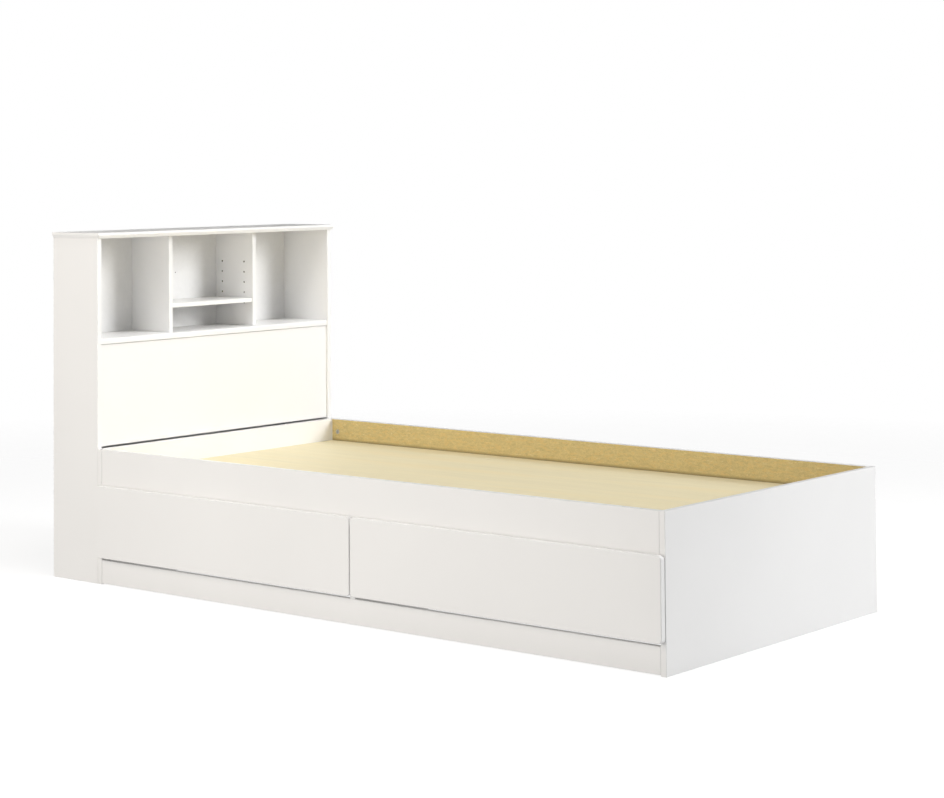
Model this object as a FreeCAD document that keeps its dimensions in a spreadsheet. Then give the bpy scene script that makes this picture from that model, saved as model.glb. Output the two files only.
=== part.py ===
import FreeCAD, Part
from math import cos, radians, sin
import os
import re
import Sketcher
from FreeCAD import Vector

# A single bed with drawers in its base and a bookcase headboard, built from laminated boards.
# +X runs from the headboard to the foot, -Y is the drawer side and +Z is up.
# The origin is the middle of the whole bed's footprint, on the floor. Lengths are in millimetres.

# Boards shared by headboard and base
board_thick = 16  # laminated board
edge_bevel = 0.8  # bevel along the edges of a laminated board
bed_width = 1026  # outside width of headboard and base

# Headboard
head_height = 1012  # floor to the top of the headboard
head_depth = 190  # depth of the headboard's sides
back_thick = 3  # hardboard back
back_lap = 8  # cover of the back on the board edges behind it
top_over_front = 10  # overhang of the top board at the front
top_over_side = 6  # overhang of the top board at each side
side_short = 0.4  # front edges of the sides behind the plane where the base meets the headboard
top_lip = 7  # upright band of the top board above its bevel
bay_floor = 704  # floor to the top of the fixed shelf
shelf_recess = 4  # fixed shelf behind the front of the sides
shelf_nose = 5  # rounding of the fixed shelf's front top edge
panel_recess = 7  # front panel behind the front of the sides
panel_slot = 4  # slot between the base and the front panel
panel_top_slot = 1.5  # slot between the front panel and the fixed shelf
stretcher_low = 20  # floor to the bottom of the lower stretcher
stretcher_high = 76  # deck cleats' underside down to the bottom of the upper stretcher
stretcher_tall = 100  # height of a stretcher
divider_setback = 30  # dividers behind the front of the sides
middle_bay = 352  # clear width between the dividers
loose_thick = 13  # adjustable shelf
loose_gap = 1  # play at each end of the adjustable shelf
loose_setback = 2  # adjustable shelf behind the dividers' front edge

# Shelf pins and their holes
peg_hole = 5.6  # diameter of a peg hole
peg_deep = 10  # depth of a peg hole
peg_pitch = 32  # spacing of the peg holes
peg_rows = 5  # peg holes in a column
peg_first = 71  # fixed shelf's top to the lowest peg hole
peg_front = 37  # front peg column behind the divider's front edge
peg_back = 28  # back peg column in front of the back
pin_dia = 5  # diameter of a shelf pin
pin_long = 9  # length of a shelf pin in its hole
pin_ledge = 9  # reach of a shelf pin under the shelf
pin_wide = 8  # width of a shelf pin's ledge

# Base
base_length = 1946  # outside length of the base
base_height = 388  # floor to the top of the rails
rail_tall = 113  # height of the front rail
head_seam = 0.8  # seam between the long boards and the head end panel
foot_seam = 0.2  # seam between the long boards and the foot end panel
plinth_lift = 3  # floor to the bottom of plinth and far panel
plinth_high = 70  # floor to the top of the plinth
deck_drop = 68  # top of the rails to the top of the deck
deck_thick = 12  # deck panel
deck_gap = 1.5  # play round the deck
cleat_side = 20  # side of a square deck cleat
support_off = 52  # drawer boxes to the long supports behind them

# Drawer fronts and boxes
front_gap = 2  # drawer front off the face of the base
front_sill = 9  # drawer front above the plinth
front_lap = 10  # drawer front over the lower edge of the rail
front_corner = 10  # corner radius of a drawer front
front_edge = 1.5  # bevel round the outer face of a drawer front
front_split = 3  # gap between the drawer fronts
front_head_in = 10  # headboard's plane to the first drawer front
front_foot_in = 1.5  # last drawer front to the end of the base
box_thick = 12  # drawer sides and back
box_tall = 150  # height of a drawer side
box_long = 450  # length of a drawer side
box_lift = 22  # drawer sides above the plinth
floor_thick = 3.2  # drawer bottom
floor_up = 12  # drawer bottom above the drawer side's lower edge
groove_deep = 6  # depth of the groove that holds the drawer bottom
groove_play = 0.4  # height of the groove over the drawer bottom's thickness

# Roller runners
runner_room = 12.5  # space beside a drawer box for its runner
runner_in = 2  # runner behind the face of the base
steel = 1.2  # sheet steel of the runners
channel_reach = 9.8  # flanges of the cabinet channel off the wall
rail_reach = 9.6  # width of the drawer rail's outer flange
rail_under = 10  # width of the drawer rail's inner flange
rail_rise = 18  # height of the drawer rail above the drawer side's lower edge
channel_head = 2.6  # play between drawer rail and the channel's top flange
roller_front = 20  # diameter of the cabinet roller
roller_rear = 21  # diameter of the drawer roller
roller_play = 1  # drawer roller below the drawer rail's flange
roller_wide = 6.5  # width of a roller
roller_off = 0.6  # roller off the sheet that carries its pin
roller_end = 13  # pin from the end of its runner
axle_dia = 4  # diameter of a roller pin
axle_play = 0.05  # radial running clearance of a roller
axle_head = 6  # diameter of a roller pin's head
axle_cap = 0.7  # thickness of a roller pin's head

# Fasteners
cam_dia = 14.4  # diameter of a cam lock
cam_hole = 15  # bore for a cam lock
cam_deep = 12  # depth of a cam lock's bore
cam_set = 24  # cam lock from the end of its board
cam_slot = 1.4  # width of a cam lock's cross slot
cam_cross = 8  # length of a cam lock's cross slot
cam_drop = 40  # cam locks below the top of the rails
bolt_dia = 6  # shank of a joining bolt
bolt_hole = 7  # hole for a joining bolt
bolt_head = 10  # width of a joining bolt's head across its flats
bolt_in = 12  # reach of a joining bolt into the headboard's stretchers
bolt_cap = 4  # thickness of a joining bolt's head
bolt_set = 120  # joining bolts from each side of the bed
bolt_rise = 50  # upper joining bolts above the lower edge of their stretcher
bolt_low = 45  # lower joining bolts above the floor

doc = FreeCAD.newDocument("bookcase_headboard_bed")
sheet = doc.addObject("Spreadsheet::Sheet", "Sizes")
known = [name for name, value in list(globals().items()) if type(value) in (int, float)]
for row, name in enumerate(known, 1):
    sheet.set("A%d" % row, name)
    sheet.set("B%d" % row, str(globals()[name]))
    sheet.setAlias("B%d" % row, name)
doc.recompute()

# Places that several pieces share, as expressions of the driving dimensions
HEAD_PLANE = "(head_depth + back_thick - base_length) / 2"
NEAR_PLANE = "(front_gap + board_thick - bed_width - top_over_side) / 2"
INSIDE_WIDTH = "bed_width - 2 * board_thick"
INSIDE_LENGTH = "base_length - 2 * board_thick"
LONG_BOARD = INSIDE_LENGTH + " - head_seam - foot_seam"
BAY_HEIGHT = "head_height - board_thick - bay_floor"
SIDE_BAY = "(bed_width - 4 * board_thick - middle_bay) / 2"
DECK_UNDER = "base_height - deck_drop - deck_thick"
UPRIGHT_X = "(base_length - board_thick) / 2"
OPENING = "(base_length - 3 * board_thick) / 2"
BOX_WIDTH = OPENING + " - 2 * runner_room"
FRONT_LOW = "plinth_high + front_sill"
FRONT_TALL = "base_height - rail_tall + front_lap - plinth_high - front_sill"
BOX_LOW = "plinth_high + box_lift"
FRONT_WIDTH = "(base_length - front_head_in - front_foot_in - front_split) / 2"
PEG_LOW = "bay_floor + peg_first"
FLANGE_UNDER = BOX_LOW + " + rail_rise - steel"
FRONT_AXLE_Z = FLANGE_UNDER + " - roller_front / 2"
REAR_AXLE_Z = FLANGE_UNDER + " - roller_play - roller_rear / 2"
TRACK_TOP = FLANGE_UNDER + " - roller_play - roller_rear"
FRONT_AXLE_Y = "runner_in + roller_end"
REAR_AXLE_Y = "box_long - front_gap - roller_end"
CAM_Z = "base_height - cam_drop"
BOLTS_Y = ("bolt_set", "bed_width - bolt_set")
UPPER_STRETCHER = DECK_UNDER + " - cleat_side - stretcher_high"
UPPER_BOLTS = UPPER_STRETCHER + " + bolt_rise"


def sized(text):
    """Point every driving dimension in an expression at its cell in the sheet."""
    return re.sub("|".join(r"\b%s\b" % name for name in known), r"Sizes.\g<0>", text)


def bind(thing, name, text):
    """Bind a property or a sketch's dimension to an expression."""
    thing.setExpression(name, sized(text))


def place(body, x, y, z):
    """Put a body's own corner at a point measured from the headboard's plane, the near face and the floor."""
    bind(body, "Placement.Base.x", "%s + %s" % (HEAD_PLANE, x))
    bind(body, "Placement.Base.y", "%s + %s" % (NEAR_PLANE, y))
    bind(body, "Placement.Base.z", z)


def new_body(label, several=False):
    """Start a body; several lets it hold a group of like solids."""
    body = doc.addObject("PartDesign::Body", label)
    body.Label = label
    body.AllowCompound = several
    return body


def new_sketch(body, plane, lift="0"):
    """Start a sketch on one of the body's own planes, lifted along that plane's normal."""
    sketch = body.newObject("Sketcher::SketchObject", "Outline")
    roots = [item for item in body.Origin.OriginFeatures if item.Role == plane]
    sketch.AttachmentSupport = [(roots[0], "")]
    sketch.MapMode = "FlatFace"
    if lift != "0":
        bind(sketch, "AttachmentOffset.Base.z", lift)
    return sketch


def dimension(sketch, kind, *refs):
    """Add a driving dimension; its expression is the last argument."""
    index = sketch.addConstraint(Sketcher.Constraint(kind, *refs[:-1], 10.0))
    bind(sketch, "Constraints[%d]" % index, refs[-1])


def rectangle(sketch, wide, tall, left="0", low="0"):
    """Draw a rectangle with its lower left corner at (left, low)."""
    corners = [Vector(1, 1, 0), Vector(11, 1, 0), Vector(11, 11, 0), Vector(1, 11, 0)]
    first = sketch.GeometryCount
    for index in range(4):
        sketch.addGeometry(Part.LineSegment(corners[index], corners[(index + 1) % 4]), False)
    for index in range(4):
        sketch.addConstraint(Sketcher.Constraint("Coincident", first + index, 2, first + (index + 1) % 4, 1))
        kind = "Vertical" if index % 2 else "Horizontal"
        sketch.addConstraint(Sketcher.Constraint(kind, first + index))
    dimension(sketch, "DistanceX", first, 1, first, 2, wide)
    dimension(sketch, "DistanceY", first + 1, 1, first + 1, 2, tall)
    if left == "0" and low == "0":
        sketch.addConstraint(Sketcher.Constraint("Coincident", first, 1, -1, 1))
    else:
        dimension(sketch, "DistanceX", -1, 1, first, 1, left)
        dimension(sketch, "DistanceY", -1, 1, first, 1, low)


def circle(sketch, across, x, y):
    """Draw a circle by its diameter and centre."""
    index = sketch.addGeometry(Part.Circle(Vector(5, 5, 0), Vector(0, 0, 1), 2), False)
    dimension(sketch, "Diameter", index, across)
    dimension(sketch, "DistanceX", -1, 1, index, 3, x)
    dimension(sketch, "DistanceY", -1, 1, index, 3, y)


def hexagon(sketch, flats, x, y):
    """Draw a hexagon by its width across flats and its centre, with two level sides."""
    first = sketch.GeometryCount
    corner_reach = 0.5 / cos(radians(30))
    turns = [radians(60 * index) for index in range(6)]
    points = [Vector(9 + 5 * cos(turn), 9 + 5 * sin(turn), 0) for turn in turns]
    for index in range(6):
        sketch.addGeometry(Part.LineSegment(points[index], points[(index + 1) % 6]), False)
    for index, turn in enumerate(turns):
        sketch.addConstraint(Sketcher.Constraint("Coincident", first + index, 2, first + (index + 1) % 6, 1))
        across = "%s + (%.6f) * %s" % (x, corner_reach * cos(turn), flats)
        rise = "%s + (%.6f) * %s" % (y, corner_reach * sin(turn), flats)
        dimension(sketch, "DistanceX", -1, 1, first + index, 1, across)
        dimension(sketch, "DistanceY", -1, 1, first + index, 1, rise)


def pad(body, sketch, length, back=False):
    """Raise a sketch by a length, along its normal or against it."""
    feature = body.newObject("PartDesign::Pad", "Pad")
    feature.Profile = sketch
    feature.Reversed = back
    bind(feature, "Length", length)
    sketch.Visibility = False
    return feature


def pocket(body, sketch, depth=None, back=False):
    """Cut a sketch to a depth, or right through the body where no depth is given."""
    feature = body.newObject("PartDesign::Pocket", "Pocket")
    feature.Profile = sketch
    feature.Reversed = back
    if depth is None:
        feature.Type = 1
        feature.Midplane = True
    else:
        bind(feature, "Length", depth)
    sketch.Visibility = False
    return feature


def bevel(body, base, across, names=None):
    """Bevel every edge of a feature, or only those named."""
    doc.recompute()
    feature = body.newObject("PartDesign::Chamfer", "Bevel")
    feature.Base = (base, names or ["Edge1"])
    feature.UseAllEdges = names is None
    bind(feature, "Size", across)
    return feature


def edges_where(base, test):
    """Name the edges of a feature whose spans along X, Y and Z pass a test."""
    doc.recompute()
    found = []
    for index, edge in enumerate(base.Shape.Edges):
        box = edge.BoundBox
        spans = ((box.XMin, box.XMax), (box.YMin, box.YMax), (box.ZMin, box.ZMax))
        if test(*[(round(low, 3), round(high, 3)) for low, high in spans]):
            found.append("Edge%d" % (index + 1))
    return found


def repeat(body, feature, axis, span, count):
    """Repeat a feature along an axis of its own sketch."""
    pattern = body.newObject("PartDesign::LinearPattern", "Row")
    pattern.Originals = [feature]
    pattern.Direction = (feature.Profile[0], [axis])
    bind(pattern, "Length", span)
    bind(pattern, "Occurrences", count)
    body.Tip = pattern
    return pattern


def board(label, plane, wide, tall, thick="board_thick", edges="edge_bevel"):
    """A flat board, its thickness on the positive side of its plane; a bare board has square edges."""
    body = new_body(label)
    sketch = new_sketch(body, plane)
    rectangle(sketch, wide, tall)
    slab = pad(body, sketch, thick, back=(plane == "XZ_Plane"))
    if edges is not None:
        bevel(body, slab, edges)
    return body


# ---------------------------------------------------------------- headboard

def head_side(label, y):
    """A side of the headboard."""
    body = board(label, "XZ_Plane", "head_depth - side_short", "head_height - board_thick")
    place(body, "-head_depth", y, "0")
    return body


def top_board():
    """The top: an upright lip with a bevel under it at the front and both sides."""
    body = new_body("Headboard_Top")
    deep = "head_depth + top_over_front"
    wide = "bed_width + 2 * top_over_side"
    sketch = new_sketch(body, "XY_Plane")
    rectangle(sketch, deep, wide)
    slab = pad(body, sketch, "board_thick")
    bevel(body, slab, "edge_bevel")
    drop = "board_thick - top_lip"
    front = new_sketch(body, "XZ_Plane")
    corner(front, deep, drop, "top_over_side")
    pocket(body, front)
    near = new_sketch(body, "YZ_Plane")
    corner(near, "0", drop, "top_over_side")
    pocket(body, near)
    far = new_sketch(body, "YZ_Plane")
    corner(far, wide, drop, "top_over_side")
    pocket(body, far)
    place(body, "-head_depth", "-top_over_side", "head_height - board_thick")
    return body


def corner(sketch, edge, tall, deep):
    """A triangle that bevels the lower edge of a board: its upright side stands at edge."""
    inward = -1 if edge != "0" else 1
    start = 20.0 if edge != "0" else 0.0
    points = [Vector(start, 0, 0), Vector(start, 5, 0), Vector(start + 4 * inward, 0, 0)]
    for index in range(3):
        sketch.addGeometry(Part.LineSegment(points[index], points[(index + 1) % 3]), False)
    for index in range(3):
        sketch.addConstraint(Sketcher.Constraint("Coincident", index, 2, (index + 1) % 3, 1))
    sketch.addConstraint(Sketcher.Constraint("Vertical", 0))
    sketch.addConstraint(Sketcher.Constraint("Horizontal", 2))
    dimension(sketch, "DistanceY", 0, 1, 0, 2, tall)
    if edge == "0":
        sketch.addConstraint(Sketcher.Constraint("Coincident", 0, 1, -1, 1))
        dimension(sketch, "DistanceX", 2, 2, 2, 1, deep)
    else:
        sketch.addConstraint(Sketcher.Constraint("PointOnObject", 0, 1, -1))
        dimension(sketch, "DistanceX", -1, 1, 0, 1, edge)
        dimension(sketch, "DistanceX", 2, 1, 2, 2, deep)


def back_panel():
    """The hardboard back of the headboard, nailed over the rear edges of the boards round it."""
    body = board("Headboard_Back", "YZ_Plane", "bed_width - 2 * back_thick",
                 "head_height - back_lap - stretcher_low", "back_thick", None)
    place(body, "-head_depth - back_thick", "back_thick", "stretcher_low")
    return body


def fixed_shelf():
    """The floor of the bays, with a rounded nose at its front top edge."""
    body = new_body("Fixed_Shelf")
    deep = "head_depth - shelf_recess"
    sketch = new_sketch(body, "XY_Plane")
    rectangle(sketch, deep, INSIDE_WIDTH)
    slab = pad(body, sketch, "board_thick")
    nose = body.newObject("PartDesign::Fillet", "Nose")
    nose.Base = (slab, edges_where(slab, lambda x, y, z: x[0] > 0 and z[0] > 0))
    bind(nose, "Radius", "shelf_nose")
    place(body, "-head_depth", "board_thick", "bay_floor - board_thick")
    return body


def divider(label, y, face):
    """A divider with two columns of peg holes in the face towards the middle bay."""
    body = board(label, "XZ_Plane", "head_depth - divider_setback", BAY_HEIGHT)
    lift = "-board_thick" if face > 0 else "0"
    sketch = new_sketch(body, "XZ_Plane", lift)
    circle(sketch, "peg_hole", "peg_back", "peg_first")
    circle(sketch, "peg_hole", "head_depth - divider_setback - peg_front", "peg_first")
    hole = pocket(body, sketch, "peg_deep", back=(face > 0))
    repeat(body, hole, "V_Axis", "peg_pitch * (peg_rows - 1)", "peg_rows")
    place(body, "-head_depth", y, "bay_floor")
    return body


def loose_shelf():
    """The adjustable shelf of the middle bay, lying on four pins in the lowest peg holes."""
    deep = "head_depth - divider_setback - loose_setback - loose_gap"
    body = board("Adjustable_Shelf", "XY_Plane", deep, "middle_bay - 2 * loose_gap", "loose_thick")
    near = SIDE_BAY + " + 2 * board_thick + loose_gap"
    place(body, "-head_depth + loose_gap", near, PEG_LOW + " + pin_dia / 2")
    return body


def shelf_pins():
    """Four pins: a round shank in the divider and a flat-topped ledge under the shelf."""
    body = new_body("Shelf_Pins", several=True)
    columns = ("peg_back", "head_depth - divider_setback - peg_front")
    shanks = new_sketch(body, "XZ_Plane")
    for x in columns:
        circle(shanks, "pin_dia", x, "pin_dia / 2")
    pad(body, shanks, "pin_long")
    ledges = new_sketch(body, "XZ_Plane")
    for x in columns:
        rectangle(ledges, "pin_wide", "pin_dia / 2", "%s - pin_wide / 2" % x, "pin_dia / 2")
    pad(body, ledges, "pin_ledge", back=True)
    far_shanks = new_sketch(body, "XZ_Plane", "-middle_bay")
    for x in columns:
        circle(far_shanks, "pin_dia", x, "pin_dia / 2")
    pad(body, far_shanks, "pin_long", back=True)
    far_ledges = new_sketch(body, "XZ_Plane", "-middle_bay")
    for x in columns:
        rectangle(far_ledges, "pin_wide", "pin_dia / 2", "%s - pin_wide / 2" % x, "pin_dia / 2")
    pad(body, far_ledges, "pin_ledge")
    place(body, "-head_depth", SIDE_BAY + " + 2 * board_thick", PEG_LOW + " - pin_dia / 2")
    return body


def front_panel():
    """The panel under the fixed shelf, with a dark slot above it and below it."""
    tall = "bay_floor - board_thick - panel_top_slot - base_height - panel_slot"
    body = board("Headboard_Front_Panel", "YZ_Plane", INSIDE_WIDTH, tall)
    place(body, "-panel_recess - board_thick", "board_thick", "base_height + panel_slot")
    return body


def stretcher(label, low, bolt):
    """A board between the headboard's sides with blind holes for two joining bolts."""
    body = board(label, "YZ_Plane", INSIDE_WIDTH, "stretcher_tall")
    sketch = new_sketch(body, "YZ_Plane", "board_thick")
    for y in BOLTS_Y:
        circle(sketch, "bolt_hole", "%s - board_thick" % y, "%s - (%s)" % (bolt, low))
    pocket(body, sketch, "bolt_in + bolt_hole - bolt_dia")
    place(body, "-board_thick", "board_thick", low)
    return body


# ---------------------------------------------------------------- base

def end_panel(label, x, bolted):
    """An end of the base; the one at the headboard is drilled for the joining bolts."""
    body = board(label, "YZ_Plane", "bed_width", "base_height")
    if bolted:
        bolts = new_sketch(body, "YZ_Plane")
        for y in BOLTS_Y:
            for z in (UPPER_BOLTS, "bolt_low"):
                circle(bolts, "bolt_hole", y, z)
        pocket(body, bolts)
    place(body, x, "0", "0")
    return body


def long_board(label, y, low, tall, inner_face):
    """A board along the base with a cam lock bore near both ends of its inner face."""
    body = board(label, "XZ_Plane", LONG_BOARD, tall)
    lift = "-board_thick" if inner_face > 0 else "0"
    sketch = new_sketch(body, "XZ_Plane", lift)
    for x in ("cam_set", INSIDE_LENGTH + " - cam_set"):
        circle(sketch, "cam_hole", x + " - head_seam", "%s - (%s)" % (CAM_Z, low))
    pocket(body, sketch, "cam_deep", back=(inner_face > 0))
    place(body, "board_thick + head_seam", y, low)
    return body


def cam_locks():
    """The cam locks of rail and far panel, each with a cross slot in its face."""
    body = new_body("Cam_Locks", several=True)
    for face, outward in (("0", 1), ("-(" + INSIDE_WIDTH + ")", -1)):
        for x in ("cam_set", INSIDE_LENGTH + " - cam_set"):
            disc = new_sketch(body, "XZ_Plane", face)
            circle(disc, "cam_dia", x, CAM_Z)
            pad(body, disc, "cam_deep", back=(outward < 0))
            for wide, tall in (("cam_cross", "cam_slot"), ("cam_slot", "cam_cross")):
                slot = new_sketch(body, "XZ_Plane", face)
                rectangle(slot, wide, tall, "%s - %s / 2" % (x, wide), "%s - %s / 2" % (CAM_Z, tall))
                pocket(body, slot, "cam_slot * 2", back=(outward > 0))
    place(body, "board_thick", "board_thick", "0")
    return body


def centre_upright():
    """The upright between the drawers, notched for rail, plinth and cleats."""
    body = new_body("Centre_Upright")
    sketch = new_sketch(body, "YZ_Plane")
    rectangle(sketch, "bed_width - board_thick", DECK_UNDER)
    slab = pad(body, sketch, "board_thick")
    notches = new_sketch(body, "YZ_Plane")
    rectangle(notches, "board_thick", "rail_tall", "0", "base_height - rail_tall")
    pocket(body, notches)
    foot = new_sketch(body, "YZ_Plane")
    rectangle(foot, "board_thick", "plinth_high")
    pocket(body, foot)
    for y in ("board_thick", "bed_width - board_thick - cleat_side"):
        cleat = new_sketch(body, "YZ_Plane")
        rectangle(cleat, "cleat_side", "cleat_side", y, DECK_UNDER + " - cleat_side")
        pocket(body, cleat)
    place(body, UPRIGHT_X, "0", "0")
    return body


def long_support(label, x, notch):
    """A board on edge under the middle of the deck, notched for the cleat on the end panel."""
    body = board(label, "XZ_Plane", OPENING, DECK_UNDER, edges=None)
    sketch = new_sketch(body, "XZ_Plane")
    rectangle(sketch, "cleat_side", "cleat_side", notch, DECK_UNDER + " - cleat_side")
    pocket(body, sketch)
    place(body, x, "box_long - front_gap + support_off", "0")
    return body


def deck_panel(label, x):
    """One half of the deck, lying on the cleats, the supports and the upright."""
    wide = INSIDE_WIDTH + " - 2 * deck_gap"
    half = "(%s) / 2 - deck_gap" % INSIDE_LENGTH
    body = board(label, "XY_Plane", half, wide, "deck_thick", None)
    place(body, x, "board_thick + deck_gap", DECK_UNDER)
    return body


def cleat(label, long_side, x, y, along_x):
    """A square cleat screwed to the inside of the base to carry the deck."""
    sizes = (long_side, "cleat_side") if along_x else ("cleat_side", long_side)
    body = board(label, "XY_Plane", sizes[0], sizes[1], "cleat_side", None)
    place(body, x, y, DECK_UNDER + " - cleat_side")
    return body


def joining_bolts():
    """Hexagon bolts from inside the base through its end panel into the headboard's stretchers."""
    body = new_body("Joining_Bolts", several=True)
    heads = new_sketch(body, "YZ_Plane", "board_thick")
    shanks = new_sketch(body, "YZ_Plane", "board_thick")
    for z in (UPPER_BOLTS, "bolt_low"):
        for y in BOLTS_Y:
            hexagon(heads, "bolt_head", y, z)
            circle(shanks, "bolt_dia", y, z)
    pad(body, heads, "bolt_cap")
    pad(body, shanks, "board_thick + bolt_in", back=True)
    place(body, "0", "0", "0")
    return body


# ---------------------------------------------------------------- runners

def channel(label, wall, hand):
    """A cabinet channel: a web on the wall, a track flange below and a guard flange above."""
    body = new_body(label)
    tall = "roller_rear + roller_play + 3 * steel + channel_head"
    outline = new_sketch(body, "XZ_Plane")
    rectangle(outline, "channel_reach", tall)
    pad(body, outline, "box_long", back=True)
    inside = new_sketch(body, "XZ_Plane")
    left = "steel" if hand > 0 else "0"
    rectangle(inside, "channel_reach - steel", tall + " - 2 * steel", left, "steel")
    pocket(body, inside)
    x = wall if hand > 0 else wall + " - channel_reach"
    place(body, x, "runner_in", TRACK_TOP + " - steel")
    return body


def drawer_rail(label, wall, hand):
    """A drawer rail: a web on the drawer side, a foot under it and a flange that rides the roller."""
    body = new_body(label)
    whole = "rail_reach + rail_under"
    tall = "rail_rise + steel"
    long_side = "box_long"
    outline = new_sketch(body, "XZ_Plane")
    rectangle(outline, whole, tall)
    pad(body, outline, long_side, back=True)
    outer = new_sketch(body, "XZ_Plane")
    inner = new_sketch(body, "XZ_Plane")
    if hand > 0:
        rectangle(outer, "rail_reach - steel", tall + " - steel", "0", "0")
        rectangle(inner, "rail_under", tall + " - steel", "rail_reach", "steel")
    else:
        rectangle(outer, "rail_reach - steel", tall + " - steel", "rail_under + steel", "0")
        rectangle(inner, "rail_under", tall + " - steel", "0", "steel")
    pocket(body, outer)
    pocket(body, inner)
    x = wall + " + runner_room - rail_reach" if hand > 0 else wall + " - runner_room - rail_under"
    place(body, x, "-front_gap", BOX_LOW + " - steel")
    return body


def roller_pair(label, wall, across, y, z, off_wall):
    """Two like rollers on one axis, one in each of a drawer's runners."""
    body = new_body(label, several=True)
    ring = new_sketch(body, "YZ_Plane")
    circle(ring, across, "%s / 2" % across, "%s / 2" % across)
    circle(ring, "axle_dia + 2 * axle_play", "%s / 2" % across, "%s / 2" % across)
    wheel = pad(body, ring, "roller_wide")
    span = "%s - 2 * (%s) - roller_wide" % (OPENING, off_wall)
    repeat(body, wheel, "N_Axis", span, "2")
    place(body, "%s + %s" % (wall, off_wall), "%s - %s / 2" % (y, across), "%s - %s / 2" % (z, across))
    return body


def axle_pins(label, sets):
    """Headed pins for the rollers: each starts on its sheet and ends in a cap beyond the roller."""
    body = new_body(label, several=True)
    for x, y, z, hand in sets:
        shank = new_sketch(body, "YZ_Plane", x)
        circle(shank, "axle_dia", y, z)
        pad(body, shank, "roller_wide + 2 * roller_off", back=(hand < 0))
        sign = "+" if hand > 0 else "-"
        cap = new_sketch(body, "YZ_Plane", "%s %s (roller_wide + 2 * roller_off)" % (x, sign))
        circle(cap, "axle_head", y, z)
        pad(body, cap, "axle_cap", back=(hand < 0))
    place(body, "0", "0", "0")
    return body


# ---------------------------------------------------------------- drawers

def drawer_front(label, x):
    """A drawer front with round corners and a bevel round its outer face."""
    body = new_body(label)
    sketch = new_sketch(body, "XZ_Plane")
    rectangle(sketch, FRONT_WIDTH, FRONT_TALL)
    slab = pad(body, sketch, "board_thick", back=True)
    corners = body.newObject("PartDesign::Fillet", "Corners")
    corners.Base = (slab, edges_where(slab, lambda x, y, z: x[0] == x[1] and z[0] == z[1]))
    bind(corners, "Radius", "front_corner")
    bevel(body, corners, "front_edge", edges_where(corners, lambda x, y, z: y[1] == 0))
    place(body, x, "-front_gap - board_thick", FRONT_LOW)
    return body


def drawer_side(label, x, groove_face):
    """A drawer side with the groove for the drawer bottom."""
    body = board(label, "XZ_Plane", "box_thick", "box_tall", "box_long")
    groove = new_sketch(body, "XZ_Plane")
    left = "box_thick - groove_deep" if groove_face > 0 else "0"
    rectangle(groove, "groove_deep", "floor_thick + groove_play", left, "floor_up")
    pocket(body, groove)
    place(body, x, "-front_gap", BOX_LOW)
    return body


def drawer(name, wall, front_x):
    """All pieces of one drawer, between the walls that start at wall."""
    box = wall + " + runner_room"
    inner = BOX_WIDTH + " - 2 * box_thick"
    drawer_front(name + "_Front", front_x)
    drawer_side(name + "_Side_Head", box, 1)
    drawer_side(name + "_Side_Foot", "%s + %s - box_thick" % (box, BOX_WIDTH), -1)
    back_low = "floor_up + floor_thick + groove_play"
    back = board(name + "_Back", "XZ_Plane", inner, "box_tall - (%s)" % back_low, "box_thick")
    place(back, box + " + box_thick", "box_long - front_gap - box_thick",
          BOX_LOW + " + " + back_low)
    bottom = board(name + "_Bottom", "XY_Plane", inner + " + 2 * groove_deep - 1", "box_long - 1",
                   "floor_thick", None)
    place(bottom, box + " + box_thick - groove_deep + 0.5", "-front_gap + 0.5", BOX_LOW + " + floor_up")
    far_wall = "%s + %s" % (wall, OPENING)
    drawer_rail(name + "_Rail_Head", wall, 1)
    drawer_rail(name + "_Rail_Foot", far_wall, -1)
    web = "runner_room - steel"
    pins = ((wall + " + " + web, REAR_AXLE_Y, REAR_AXLE_Z, -1),
            (far_wall + " - (" + web + ")", REAR_AXLE_Y, REAR_AXLE_Z, 1))
    axle_pins(name + "_Roller_Pins", pins)
    off_wall = "runner_room - steel - roller_off - roller_wide"
    roller_pair(name + "_Rear_Rollers", wall, "roller_rear", REAR_AXLE_Y, REAR_AXLE_Z, off_wall)


# ---------------------------------------------------------------- assembly

head_side("Headboard_Side_Near", "0")
head_side("Headboard_Side_Far", "bed_width - board_thick")
top_board()
back_panel()
fixed_shelf()
divider("Divider_Near", SIDE_BAY + " + board_thick", 1)
divider("Divider_Far", SIDE_BAY + " + 2 * board_thick + middle_bay", -1)
loose_shelf()
shelf_pins()
front_panel()
stretcher("Headboard_Stretcher_Low", "stretcher_low", "bolt_low")
stretcher("Headboard_Stretcher_High", UPPER_STRETCHER, UPPER_BOLTS)

end_panel("Head_End_Panel", "0", True)
end_panel("Foot_End_Panel", "base_length - board_thick", False)
long_board("Front_Rail", "0", "base_height - rail_tall", "rail_tall", 1)
long_board("Far_Side_Panel", "bed_width - board_thick", "plinth_lift", "base_height - plinth_lift", -1)
plinth = board("Plinth", "XZ_Plane", LONG_BOARD, "plinth_high - plinth_lift")
place(plinth, "board_thick + head_seam", "0", "plinth_lift")
cam_locks()
centre_upright()
long_support("Long_Support_Head", "board_thick", "0")
long_support("Long_Support_Foot", UPRIGHT_X + " + board_thick", OPENING + " - cleat_side")
deck_panel("Deck_Panel_Head", "board_thick + deck_gap")
deck_panel("Deck_Panel_Foot", "base_length / 2")
cleat("Deck_Cleat_Near", INSIDE_LENGTH, "board_thick", "board_thick", True)
cleat("Deck_Cleat_Far", INSIDE_LENGTH, "board_thick", "bed_width - board_thick - cleat_side", True)
between = INSIDE_WIDTH + " - 2 * cleat_side"
cleat("Deck_Cleat_Head", between, "board_thick", "board_thick + cleat_side", False)
cleat("Deck_Cleat_Foot", between, "base_length - board_thick - cleat_side", "board_thick + cleat_side", False)
joining_bolts()

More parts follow.
